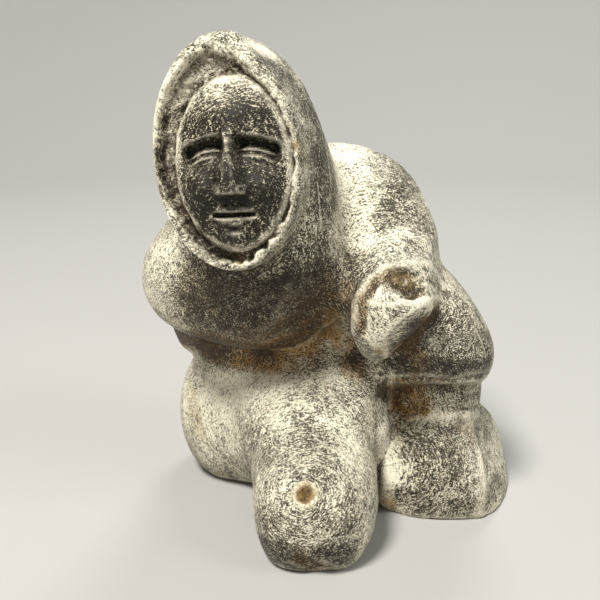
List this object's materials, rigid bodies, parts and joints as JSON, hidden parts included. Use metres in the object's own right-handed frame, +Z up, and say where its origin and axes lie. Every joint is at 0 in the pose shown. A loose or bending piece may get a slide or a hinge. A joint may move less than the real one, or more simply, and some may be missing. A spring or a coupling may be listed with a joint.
{
  "type": "carved soapstone figure of a kneeling hooded hunter",
  "caption": "Small soapstone carving of a hooded hunter kneeling on one knee, carved in the round from one block, with an empty hollow in the top of the left fist and a shallow drilled socket in the right knee.",
  "frame": {"origin": "on the surface the figure stands on, under the middle of its bounding box", "axes": "+Z up, the figure faces -Y, its own right hand is towards -X"},
  "size_m": [0.0939, 0.079, 0.1169],
  "materials": {
    "soapstone": null
  },
  "bodies": {
    "root": {"figure": "soapstone"}
  },
  "joints": []
}
